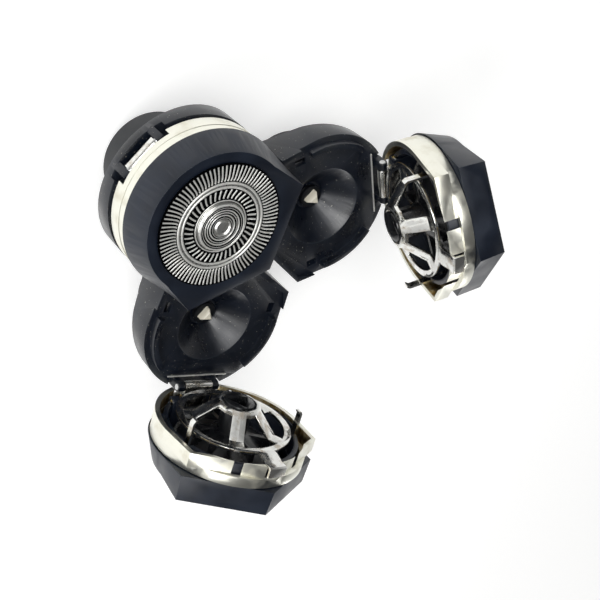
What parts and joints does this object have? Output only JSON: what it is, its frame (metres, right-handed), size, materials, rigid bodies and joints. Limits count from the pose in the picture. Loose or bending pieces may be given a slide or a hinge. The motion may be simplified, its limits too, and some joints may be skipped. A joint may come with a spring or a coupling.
{
  "type": "rotary shaver head",
  "caption": "Three-headed rotary shaving unit: round coupling, gear tray and tilting heads, one shut and two flipped open to show bowl, drive tip, cage and cutter.",
  "frame": {"origin": "centre of the coupling collar's lower rim", "axes": "+Z along the unit's axis towards the shaving faces, +Y towards the shut head"},
  "size_m": [0.0828, 0.0661, 0.0536],
  "materials": {
    "black_abs": "moulded, satin",
    "cup_plastic": "moulded, glossy blue-black",
    "front_plastic": "moulded, satin blue-black",
    "cutter_plastic": "moulded, glossy black",
    "white_acetal": "moulded gear plastic",
    "ivory_acetal": "moulded, pale",
    "steel": "turned",
    "spring_steel": "rolled strip",
    "guard_steel": "pressed and ground",
    "bright_chrome": "bright plated",
    "satin_chrome": "satin plated, warm tint"
  },
  "bodies": {
    "carrier": {"coupling_collar": "black_abs", "carrier_tray": "black_abs", "gear_cover": "black_abs", "cover_screws": "steel", "tilt_pins": "steel", "return_spring_1": "spring_steel", "return_spring_2": "spring_steel", "return_spring_3": "spring_steel"},
    "drive": {"drive_gear": "white_acetal", "drive_sleeve": "steel"},
    "gear_1": {"driven_gear_1": "white_acetal"},
    "cup_body_1": {"cup_1": "cup_plastic", "spindle_bush_1": "cup_plastic", "hinge_pin_1": "steel"},
    "spindle_1": {"drive_spindle_1": "ivory_acetal"},
    "lid_1": {"front_shell_1": "front_plastic", "trim_band_1": "satin_chrome", "hinge_leaf_1": "bright_chrome", "guard_1": "guard_steel", "guard_disc_1": "guard_steel", "snap_hooks_1": "bright_chrome", "cutter_cage_1": "bright_chrome"},
    "cutter_1": {"cutter_hub_1": "cutter_plastic", "blade_ring_1": "steel"},
    "gear_2": {"driven_gear_2": "white_acetal"},
    "cup_body_2": {"cup_2": "cup_plastic", "spindle_bush_2": "cup_plastic", "hinge_pin_2": "steel"},
    "spindle_2": {"drive_spindle_2": "ivory_acetal"},
    "lid_2": {"front_shell_2": "front_plastic", "trim_band_2": "satin_chrome", "hinge_leaf_2": "bright_chrome", "guard_2": "guard_steel", "guard_disc_2": "guard_steel", "snap_hooks_2": "bright_chrome"},
    "cage_2": {"cutter_cage_2": "bright_chrome"},
    "cutter_2": {"cutter_hub_2": "cutter_plastic", "blade_ring_2": "steel"},
    "gear_3": {"driven_gear_3": "white_acetal"},
    "cup_body_3": {"cup_3": "cup_plastic", "spindle_bush_3": "cup_plastic", "hinge_pin_3": "steel"},
    "spindle_3": {"drive_spindle_3": "ivory_acetal"},
    "lid_3": {"front_shell_3": "front_plastic", "trim_band_3": "satin_chrome", "hinge_leaf_3": "bright_chrome", "guard_3": "guard_steel", "guard_disc_3": "guard_steel", "snap_hooks_3": "bright_chrome"},
    "cage_3": {"cutter_cage_3": "bright_chrome"},
    "cutter_3": {"cutter_hub_3": "cutter_plastic", "blade_ring_3": "steel"}
  },
  "joints": [
    {"name": "drive_spin", "type": "hinge", "parent": "carrier", "child": "drive", "pos_m": [0, 0, 0.008], "axis": [0, 0, 1], "continuous": true},
    {"name": "gear_1_spin", "type": "hinge", "parent": "carrier", "child": "gear_1", "pos_m": [0, 0.018, 0.009], "axis": [0, 0, 1], "continuous": true},
    {"name": "head_1_tilt", "type": "hinge", "parent": "carrier", "child": "cup_body_1", "pos_m": [0, 0.018, 0.011], "axis": [-1, 0, 0], "range_deg": [0, 8], "stiffness_Nm_per_rad": 0.08, "springref_deg": -5.73, "deforming": ["return_spring_1"]},
    {"name": "spindle_1_spin", "type": "hinge", "parent": "cup_body_1", "child": "spindle_1", "pos_m": [0, 0.018, 0.011], "axis": [0, 0, 1], "continuous": true},
    {"name": "lid_1_open", "type": "hinge", "parent": "cup_body_1", "child": "lid_1", "pos_m": [0, 0.03185, 0.0221], "axis": [-1, 0, 0], "range_deg": [0, 98]},
    {"name": "cutter_1_spin", "type": "hinge", "parent": "lid_1", "child": "cutter_1", "pos_m": [0, 0.018, 0.027], "axis": [0, 0, 1], "continuous": true},
    {"name": "gear_2_spin", "type": "hinge", "parent": "carrier", "child": "gear_2", "pos_m": [0.01559, -0.009, 0.009], "axis": [0, 0, 1], "continuous": true},
    {"name": "head_2_tilt", "type": "hinge", "parent": "carrier", "child": "cup_body_2", "pos_m": [0.01559, -0.009, 0.011], "axis": [0.5, 0.866, 0], "range_deg": [0, 8], "stiffness_Nm_per_rad": 0.08, "springref_deg": -5.73, "deforming": ["return_spring_2"]},
    {"name": "spindle_2_spin", "type": "hinge", "parent": "cup_body_2", "child": "spindle_2", "pos_m": [0.01559, -0.009, 0.011], "axis": [0, 0, 1], "continuous": true},
    {"name": "lid_2_open", "type": "hinge", "parent": "cup_body_2", "child": "lid_2", "pos_m": [0.02758, -0.01593, 0.0221], "axis": [0.5, 0.866, 0], "range_deg": [-78.3, 19.7]},
    {"name": "cage_2_open", "type": "hinge", "parent": "lid_2", "child": "cage_2", "pos_m": [0.02763, -0.01596, 0.02625], "axis": [-0.5, -0.866, 0], "range_deg": [0, 60]},
    {"name": "cutter_2_spin", "type": "hinge", "parent": "lid_2", "child": "cutter_2", "pos_m": [0.02931, -0.01692, 0.03666], "axis": [0.848, -0.4896, 0.2028], "continuous": true},
    {"name": "gear_3_spin", "type": "hinge", "parent": "carrier", "child": "gear_3", "pos_m": [-0.01559, -0.009, 0.009], "axis": [0, 0, 1], "continuous": true},
    {"name": "head_3_tilt", "type": "hinge", "parent": "carrier", "child": "cup_body_3", "pos_m": [-0.01559, -0.009, 0.011], "axis": [0.5, -0.866, 0], "range_deg": [0, 8], "stiffness_Nm_per_rad": 0.08, "springref_deg": -5.73, "deforming": ["return_spring_3"]},
    {"name": "spindle_3_spin", "type": "hinge", "parent": "cup_body_3", "child": "spindle_3", "pos_m": [-0.01559, -0.009, 0.011], "axis": [0, 0, 1], "continuous": true},
    {"name": "lid_3_open", "type": "hinge", "parent": "cup_body_3", "child": "lid_3", "pos_m": [-0.02758, -0.01593, 0.0221], "axis": [0.5, -0.866, 0], "range_deg": [-84.8, 13.2]},
    {"name": "cage_3_open", "type": "hinge", "parent": "lid_3", "child": "cage_3", "pos_m": [-0.02804, -0.01619, 0.02621], "axis": [-0.5, 0.866, 0], "range_deg": [0, 60]},
    {"name": "cutter_3_spin", "type": "hinge", "parent": "lid_3", "child": "cutter_3", "pos_m": [-0.03072, -0.01774, 0.03634], "axis": [-0.8625, -0.4979, 0.0906], "continuous": true}
  ],
  "couplings": [
    {"joint": "gear_1_spin", "follows": "drive_spin", "ratio": -1.5},
    {"joint": "spindle_1_spin", "follows": "drive_spin", "ratio": -1.5},
    {"joint": "cutter_1_spin", "follows": "drive_spin", "ratio": -1.5},
    {"joint": "gear_2_spin", "follows": "drive_spin", "ratio": -1.5},
    {"joint": "spindle_2_spin", "follows": "drive_spin", "ratio": -1.5},
    {"joint": "gear_3_spin", "follows": "drive_spin", "ratio": -1.5},
    {"joint": "spindle_3_spin", "follows": "drive_spin", "ratio": -1.5}
  ]
}
